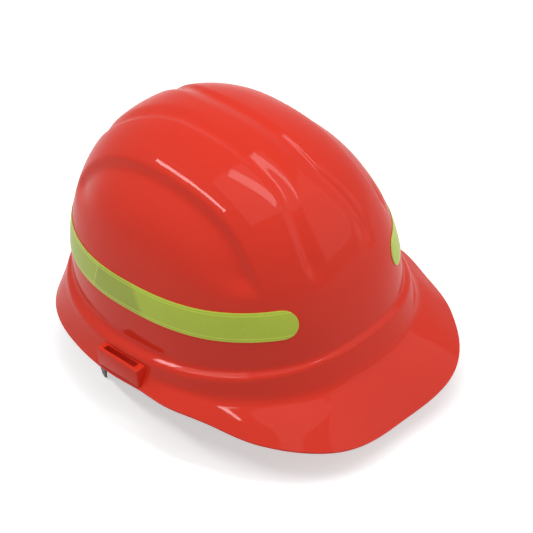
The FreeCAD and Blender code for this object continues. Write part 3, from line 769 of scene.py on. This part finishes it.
def strip_path():
    """Directions round the shell along the strip, and the length of strip up to each."""
    steps = 600
    fine = [STRIP_FROM + (STRIP_TO - STRIP_FROM) * i / steps for i in range(steps + 1)]
    middles = [wall_at(a, strip_low(a) + STRIP_WIDE / 2) for a in fine]
    run = [0.0]
    for a, b in zip(middles, middles[1:]):
        run.append(run[-1] + (b - a).length)
    return fine, run


def direction_at(fine, run, along):
    """Direction round the shell at a length along the strip."""
    k = 0
    while k < len(run) - 2 and run[k + 1] < along:
        k += 1
    share = (along - run[k]) / (run[k + 1] - run[k])
    return fine[k] + (fine[k + 1] - fine[k]) * share


def make_strip(name, side, node):
    """Film strip on the side of the shell, round-ended, lying on the wall."""
    fine, run = strip_path()
    length = run[-1]
    radius = STRIP_WIDE / 2
    glue = 0.08

    def lay(co):
        up = (co.y + 0.5) * STRIP_WIDE - radius
        inset = radius - math.sqrt(max(radius ** 2 - up ** 2, 0.0))
        along = length / 2 + co.x * 2 * (length / 2 - inset)
        a = direction_at(fine, run, along)
        z = strip_low(a) + up + radius
        here = wall_at(a, z)
        onward = wall_at(a + 0.5, z) - here
        above = wall_at(a, z + 0.5) - here
        normal = onward.cross(above).normalized()
        if normal.dot(here) < 0:
            normal = -normal
        place = here + normal * glue
        place.x *= side
        return place, (along, up + radius)

    strip = lay_grid(name, STRIP_COLUMNS, STRIP_ROWS, lay)
    turn_outwards()
    middle = min(bmesh.from_edit_mesh(strip.data).faces, key=lambda f: abs(f.calc_center_median().y))
    if middle.normal.x * side < 0:
        bpy.ops.mesh.flip_normals()
    bpy.ops.object.mode_set(mode="OBJECT")
    modify(strip, "SOLIDIFY", thickness=STRIP_THICK * MM, offset=1.0)
    soften(strip, 0.18, 2, 50)
    smooth_faces(strip, 40)
    settle_piece(strip, "reflective_lime", node)


make_strip("strip_left", 1, "reflective_strip_left")
make_strip("strip_right", -1, "reflective_strip_right")


# ------------------------------------------------------------------ suspension: moulded pieces
TAIL_TIP_IN = -3.1


def narrow_tail(piece, degrees):
    """Draw a rear key's tail inwards to a narrow tip and stiffen it with a wedge behind."""
    spot = site(degrees, 0)
    for point in piece.data.vertices:
        local = spot.inverted() @ point.co
        if local.z < -35 * MM:
            local.x = TAIL_TIP_IN * MM + (local.x - 0.3 * MM) * 0.45
            point.co = spot @ local
    wedge = add_box("tail_wedge", (-10.5, -5, -42), (0, 5, -6))
    for point in wedge.data.vertices:
        if point.co.z < -40 * MM:
            point.co.x = TAIL_TIP_IN * MM + (point.co.x + 5.25 * MM) * 0.08
            point.co.y *= 0.3
    wedge.data.transform(spot)
    cut(piece, wedge, "UNION")


def dress(node, finish, body, width):
    """Merged copy of a moulded CAD node with softened edges."""
    only(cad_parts[node])
    bpy.ops.object.duplicate()
    piece = bpy.context.object
    place = piece.matrix_world.copy()
    piece.parent = None
    piece.matrix_world = place
    piece.name = node + "_moulding"
    piece.data.name = piece.name
    piece.data.materials.clear()
    only(piece)
    bpy.ops.object.transform_apply(location=True, rotation=True, scale=True)
    bpy.ops.object.mode_set(mode="EDIT")
    bpy.ops.mesh.select_all(action="SELECT")
    bpy.ops.mesh.remove_doubles(threshold=0.000002)
    bpy.ops.mesh.dissolve_limited(angle_limit=math.radians(2.0))
    turn_outwards()
    bpy.ops.object.mode_set(mode="OBJECT")
    if node.startswith("suspension_key_rear"):
        narrow_tail(piece, KEY_AT[node.removeprefix("suspension_key_")])
    soften(piece, width, 2, 32)
    smooth_faces(piece, 38)
    paint(piece, finish)
    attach(piece, body)
    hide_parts(node)


for corner in KEY_AT:
    dress("suspension_key_" + corner, "suspension_grey", "helmet", 0.4)
MOULDED = [
    ("headband", "suspension_grey", "helmet", 0.35),
    ("ratchet_housing", "ratchet_black", "helmet", 0.3),
    ("ratchet_cover", "ratchet_black", "helmet", 0.4),
    ("toothed_strap_left", "suspension_grey", "strap_left", 0.15),
    ("toothed_strap_right", "suspension_grey", "strap_right", 0.15),
    ("ratchet_knob", "knob_black", "knob", 0.35),
]
for node, finish, body, width in MOULDED:
    dress(node, finish, body, width)
for node, finish in (
    ("headband_studs", "stud_black"),
    ("ratchet_pinion", "pinion_white"),
    ("knob_screw", "steel"),
    ("cover_screws", "steel"),
    ("detent_spring", "spring_steel"),
):
    paint(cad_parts[node], finish)


# ------------------------------------------------------------------ suspension: webbing
BAND_HALF_WIDE, BAND_HALF_LONG, BAND_THICK = 80.0, 98.0, 2.0
KEY_SHELF, KEY_THICK, COLLAR = -11.0, 2.4, 12.0
CROSSING, STRAP_TAIL = 112.0, 9.0
TAIL_STEPS, STRAP_SPANS, STRAP_ROWS = 5, 110, 8
WEB_TAUT, STATION_STEP = 0.985, 2.4


def band_radius(degrees):
    """Radius of the headband's middle line."""
    return oval(degrees, BAND_HALF_WIDE, BAND_HALF_LONG, 2.2 if ahead(degrees) else 3.0)


def band_reach(degrees, aside):
    """Distance from the dome's base outline in to the headband, square to the outline."""
    frame_here = site(degrees, 0)
    near, far = 0.0, 60.0
    for _ in range(30):
        middle = (near + far) / 2
        p = frame_here @ Vector((-middle * MM, aside * MM, 0)) / MM
        turn = math.degrees(math.atan2(p.x, -p.y))
        if math.hypot(p.x, p.y) > band_radius(turn):
            near = middle
        else:
            far = middle
    return (near + far) / 2


def strap_slot(degrees):
    """Middle of the slot in a key's shelf, and the direction of its width."""
    reach = min(band_reach(degrees, aside) for aside in (-COLLAR, 0.0, COLLAR))
    face = BAND_THICK / 2 + 0.2 - reach
    slot_x = (face + KEY_THICK - 7.4) / 2
    low = level(CREASE_LEVEL, degrees) + KEY_SHELF
    here = site(degrees, 0)
    spot = here @ Vector((slot_x * MM, 0, 0)) / MM
    return Vector((spot.x, spot.y, low)), here.to_3x3() @ Vector((0, 1, 0))


def make_crown_strap(name, first, second, lift, node):
    """Woven strap from one key's slot up over the head to the slot of the key across."""
    a, a_side = strap_slot(KEY_AT[first])
    b, b_side = strap_slot(KEY_AT[second])
    run = Vector((b.x - a.x, b.y - a.y, 0))
    length = run.length
    run.normalize()
    aside = Vector((-run.y, run.x, 0))
    a_side = a_side if a_side.dot(aside) > 0 else -a_side
    b_side = b_side if b_side.dot(aside) > 0 else -b_side
    top = CROSSING + lift
    peak = length * a.x / (a.x - b.x)

    def centre(u):
        c = math.cos(u)
        x = peak - (peak if c > 0 else length - peak) * c
        foot = a.z + (b.z - a.z) * (1 - c) / 2
        rise = (top - foot) * max(math.sin(u), 0.0) ** 0.9
        return Vector((a.x, a.y, 0)) + run * x + Vector((0, 0, foot + rise))

    rising, hold, nip = Vector((0, 0, 1)), 3, 0.01
    tail = [-STRAP_TAIL * (1 - k / TAIL_STEPS) * rising for k in range(TAIL_STEPS)]
    stations = [(a + below, rising, a_side) for below in tail]
    for k in range(STRAP_SPANS + 1):
        share = k / STRAP_SPANS
        u = math.pi * share
        along = (centre(min(u + nip, math.pi)) - centre(max(u - nip, 0.0))).normalized()
        across = aside + a_side * (1 - smooth(share * 3)) * hold
        across += b_side * (1 - smooth((1 - share) * 3)) * hold
        if k == 0:
            across = a_side
        if k == STRAP_SPANS:
            across = b_side
        stations.append((centre(u), along, across))
    stations += [(b + below, -rising, b_side) for below in reversed(tail)]
    last = len(stations) - 1

    def lay(co):
        k = round((co.x + 0.5) * last)
        v = co.y * 2
        spot, along, across = stations[k]
        across = (across - along * across.dot(along)).normalized()
        crown = along.cross(across) * (0.12 * (1 - v * v))
        place = spot + across * (v * WEB_WIDE / 2 * WEB_TAUT) + crown
        return place, (k * STATION_STEP, (v + 1) * WEB_WIDE / 2)

    strap = lay_grid(name, last, STRAP_ROWS, lay)
    bpy.ops.object.mode_set(mode="OBJECT")
    modify(strap, "SOLIDIFY", thickness=(WEB_THICK - 0.15) * MM, offset=0.0)
    soften(strap, 0.25, 2, 50)
    only(strap)
    bpy.ops.object.mode_set(mode="EDIT")
    turn_outwards()
    bpy.ops.object.mode_set(mode="OBJECT")
    smooth_faces(strap, 40)
    settle_piece(strap, "webbing", node)


for first, second, lift in (("front_left", "rear_right", 0.0), ("front_right", "rear_left", 2.1)):
    make_crown_strap("crown_webbing_" + first, first, second, lift, "crown_strap_" + first)


# ------------------------------------------------------------------ suspension: padded pieces
def stuff(piece, most, seams):
    """Blow a closed cloth form up a little: seam points stay, none moves more than most mm."""
    rest = [point.co.copy() for point in piece.data.vertices]
    held = piece.vertex_groups.new(name="seams")
    held.add([k for k, co in enumerate(rest) if seams(co / MM)], 1.0, "REPLACE")
    only(piece)
    cloth = piece.modifiers.new("Cloth", "CLOTH")
    cloth.settings.quality = 5
    cloth.settings.mass = 0.05
    cloth.settings.vertex_group_mass = "seams"
    cloth.settings.use_pressure = True
    cloth.settings.uniform_pressure_force = 4.0
    cloth.settings.effector_weights.gravity = 0.0
    cloth.settings.tension_stiffness = 20
    cloth.settings.bending_stiffness = 2
    cloth.collision_settings.use_collision = False
    for step in range(1, 21):
        bpy.context.scene.frame_set(step)
    bpy.ops.object.modifier_apply(modifier="Cloth")
    bpy.context.scene.frame_set(1)
    for point, home in zip(piece.data.vertices, rest):
        moved = point.co - home
        if moved.length > most * MM:
            point.co = home + moved.normalized() * (most * MM)
    piece.vertex_groups.clear()


def make_pad(name, node, finish, form, seams, most, cuts):
    """Closed cushion: a cube cut fine, laid to form(a, b, c), stuffed and smoothed."""
    nothing_selected()
    bpy.ops.mesh.primitive_cube_add(size=2)
    pad = start_piece(name)
    bpy.ops.mesh.subdivide(number_cuts=cuts)
    move_points(pad, lambda co: form(co.x, co.y, co.z) * MM)
    close_piece(pad, 180)
    stuff(pad, most, seams)
    modify(pad, "SUBSURF", levels=1, render_levels=1)
    settle_piece(pad, finish, node)


def quilt(place, spacing, depth, width):
    """How far a sewn channel pulls the surface in at a place."""
    off = abs((place / spacing + 0.5) % 1.0 - 0.5) * spacing
    return depth * math.exp(-((off / width) ** 2))


def crowned(a, b, c, thick, pull):
    """Height of a pad's face: full in the middle, drawn in to its edge seam."""
    edge = max((1 - a ** 6) * (1 - b ** 6), 0.0) ** 0.5
    return c * thick / 2 * (0.3 + 0.7 * edge) * (1 - pull)


CROWN_LOW, CROWN_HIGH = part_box("crown_pad")
NAPE_LOW, NAPE_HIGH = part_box("nape_pad")
BAND_TOP, BAND_LOW = 8.0, -22.0


def crown_form(a, b, c):
    """Round quilted pad under the crossing of the straps."""
    radius = (CROWN_HIGH.x - CROWN_LOW.x) / 2 / MM - 0.8
    x = a * math.sqrt(1 - b * b / 2) * radius
    y = b * math.sqrt(1 - a * a / 2) * radius
    r = math.hypot(x, y) / radius
    turn = math.degrees(math.atan2(y, x))
    pull = quilt(turn, 60.0, 0.45, 5.0) * smooth(r * 2.2) if r < 0.98 else 0.0
    thick = (CROWN_HIGH.z - CROWN_LOW.z) / MM - 0.9
    edge = math.sqrt(max(1 - r ** 6, 0.0))
    z = (CROWN_HIGH.z + CROWN_LOW.z) / 2 / MM
    return Vector((x, y, z + c * thick / 2 * (0.3 + 0.7 * edge) * (1 - pull)))


def brow_form(a, b, c):
    """Sweat pad inside the front of the headband."""
    degrees = 34.2 * a
    high = (BAND_TOP - BAND_LOW) / 2 - 1.6
    thick = 2.4
    pull = quilt(a * 56.0, 14.0, 0.4, 1.4)
    middle = band_radius(degrees) - BAND_THICK / 2 - 0.45 - 1.6
    z = (BAND_TOP + BAND_LOW) / 2 + b * high
    return polar(degrees, middle + crowned(a, b, c, thick, pull), z)


def nape_form(a, b, c):
    """Pad in front of the ratchet, against the nape."""
    size = (NAPE_HIGH - NAPE_LOW) / MM
    middle = (NAPE_HIGH + NAPE_LOW) / 2 / MM
    pull = quilt(a * size.x / 2, 16.0, 0.4, 1.6)
    return Vector((
        middle.x + a * (size.x / 2 - 0.7),
        middle.y + crowned(a, b, c, size.y - 1.0, pull),
        middle.z + b * (size.z / 2 - 0.7),
    ))


def seam_at(place, spacing):
    """Whether a place lies on a sewn channel."""
    return abs((place / spacing + 0.5) % 1.0 - 0.5) * spacing < 0.8


make_pad(
    "crown_cushion", "crown_pad", "crown_foam", crown_form,
    lambda p: math.hypot(p.x, p.y) > 31.5 or seam_at(math.degrees(math.atan2(p.y, p.x)), 60.0),
    0.35, 30,
)
make_pad(
    "brow_cushion", "brow_pad", "sweat_pad", brow_form,
    lambda p: abs(p.z + 7.0) > 12.6, 0.3, 34,
)
make_pad(
    "nape_cushion", "nape_pad", "sweat_pad", nape_form,
    lambda p: seam_at(p.x, 16.0) or abs(p.z - (NAPE_HIGH.z + NAPE_LOW.z) / 2 / MM) > 12.0,
    0.4, 30,
)


def make_patch():
    """Sewn disc that holds the straps together where they cross, with a ring of stitches."""
    low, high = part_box("crown_patch")
    radius = (high.x - low.x) / 2
    middle = (low.z + high.z) / 2
    nothing_selected()
    bpy.ops.mesh.primitive_cylinder_add(
        vertices=96, radius=radius, depth=(high.z - low.z) * 0.7, location=(0, 0, middle)
    )
    patch = start_piece("crown_patch_sewn")
    bpy.ops.mesh.select_all(action="DESELECT")
    shape = bmesh.from_edit_mesh(patch.data)
    for face in shape.faces:
        face.select = face.normal.z > 0.9
    bmesh.update_edit_mesh(patch.data)
    for inset, rise in ((1.5, 0.0), (0.5, -0.1), (0.7, 0.1), (5.0, 0.1)):
        bpy.ops.mesh.inset(thickness=inset * MM)
        bpy.ops.transform.translate(value=(0, 0, rise * MM))
    close_piece(patch, 60)
    soften(patch, 0.3, 2, 60)
    stitches = []
    count, ring = 30, radius - 1.9 * MM
    for k in range(count):
        a = 2 * math.pi * k / count
        nothing_selected()
        bpy.ops.mesh.primitive_uv_sphere_add(
            segments=8, ring_count=6, radius=0.28 * MM, scale=(1, 3.2, 1),
            location=(math.cos(a) * ring, math.sin(a) * ring, middle + 0.36 * MM),
            rotation=(0, 0, a),
        )
        stitches.append(bpy.context.object)
    patch = join([patch] + stitches)
    only(patch)
    bpy.ops.object.transform_apply(location=True, rotation=True, scale=True)
    settle_piece(patch, "patch", "crown_patch")


make_patch()


# ------------------------------------------------------------------ camera, floor and light
VIEW_TURN, VIEW_TILT, VIEW_ROLL = -40.933, 37.442, -5.632
VIEW_FAR, AIM_HIGH, AIM_ASIDE, AIM_BELOW = 1.972, 0.0588, 0.02301, 0.02924
LENS = 193.4409006
FILL = 0.19
FLOOR_LIFT, FLOOR_FADE, FLOOR_MOST = 0.52, 0.22, 0.32
WHITE = (1, 1, 1, 1)
LAMPS = (
    # name, azimuth, elevation, distance, width, height, glow, turn
    ("overhead", -10, 78, 1.6, 1.3, 1.3, 1.25, 0),
    ("top_strip", 14, 79, 1.3, 0.18, 0.9, 7.5, 0),
    ("side_strip", -123, 55, 1.24, 1.1, 0.055, 26.0, 19),
    ("front_soft", 42, 31, 1.7, 1.65, 1.5, 1.0, 0),
)


def toward(azimuth, elevation):
    """Unit vector out of the helmet: azimuth 0 is the front, in degrees."""
    a, e = math.radians(azimuth), math.radians(elevation)
    return Vector((math.sin(a) * math.cos(e), -math.cos(a) * math.cos(e), math.sin(e)))


def place_camera():
    """Camera in front of the wearer's right side, looking down on the helmet."""
    azimuth, roll = math.radians(VIEW_TURN), math.radians(VIEW_ROLL)
    back = toward(VIEW_TURN, VIEW_TILT)
    across = Vector((math.cos(azimuth), math.sin(azimuth), 0))
    up = back.cross(across)
    aim = Vector((0, 0, AIM_HIGH)) + across * AIM_ASIDE - up * AIM_BELOW
    side = across * math.cos(roll) + up * math.sin(roll)
    top = up * math.cos(roll) - across * math.sin(roll)
    turn = Matrix((side, top, back)).transposed()
    bpy.ops.object.camera_add()
    camera = bpy.context.object
    camera.name = "studio_camera"
    camera.matrix_world = Matrix.Translation(aim + back * VIEW_FAR) @ turn.to_4x4()
    camera.data.lens = LENS
    camera.data.clip_end = 20
    bpy.context.scene.camera = camera


def add_lamp(name, azimuth, elevation, distance, wide, tall, glow, turn):
    """Softbox facing the helmet, turned about its own axis; glow is the brightness of its face."""
    way = toward(azimuth, elevation)
    bpy.ops.object.light_add(type="AREA")
    lamp = bpy.context.object
    lamp.name = name
    lamp.data.shape = "RECTANGLE"
    lamp.data.size = wide
    lamp.data.size_y = tall
    lamp.data.energy = glow * math.pi * wide * tall
    lamp.location = Vector((0, 0, 0.06)) + way * distance
    facing = way.to_track_quat("Z", "Y").to_matrix()
    lamp.rotation_euler = (facing @ Matrix.Rotation(math.radians(turn), 3, "Z")).to_euler()


def direct_rays(f):
    """1 for rays from the camera, straight, through glass or by a reflection; 0 for the rest."""
    rays = f.add("LightPath").socket.node.outputs
    seen = Signal(f, rays["Is Camera Ray"])
    for kind in ("Is Transmission Ray", "Is Glossy Ray"):
        seen = f.add("Math", {"operation": "MAXIMUM"}, {0: seen, 1: Signal(f, rays[kind])})
    return seen


def studio_floor():
    """Plain white floor that keeps the helmet's shadow and meets a white background."""
    bpy.ops.mesh.primitive_plane_add(size=8, location=(0, 0, cad_low.z - 0.0005))
    floor = bpy.context.object
    floor.name = "floor"
    f = Finish("floor_white")
    seen = direct_rays(f)
    paper = f.add("BsdfDiffuse", None, {"Color": (0.8, 0.8, 0.8, 1.0)})
    away = f.add("VectorMath", {"operation": "LENGTH"}, {0: f.place()}, output=1)
    far = f.add("Math", {"operation": "MINIMUM"}, {0: away * FLOOR_FADE, 1: FLOOR_MOST})
    glow = f.add("Emission", None, {"Color": seen * (FLOOR_LIFT + far), "Strength": 1.0})
    both = f.add("AddShader", None, {0: paper, 1: glow})
    f.add("OutputMaterial", None, {"Surface": both})
    floor.data.materials.append(f.material)


class Surround(Finish):
    """The world's shading, put together like a material's."""

    def __init__(self, name):
        world = bpy.data.worlds.new(name)
        bpy.context.scene.world = world
        world.use_nodes = True
        self.tree = world.node_tree
        self.tree.nodes.clear()


def studio_world():
    """Even pale surround, seen as plain white."""
    f = Surround("studio")
    seen = direct_rays(f)
    plain = f.add("Background", None, {"Color": WHITE, "Strength": FILL})
    white = f.add("Background", None, {"Color": WHITE, "Strength": 1.0})
    mix = f.add("MixShader", None, {0: seen, 1: plain, 2: white})
    f.add("OutputWorld", None, {"Surface": mix})


place_camera()
studio_floor()
studio_world()
for lamp in LAMPS:
    add_lamp(*lamp)
bpy.context.scene.view_settings.view_transform = "Standard"
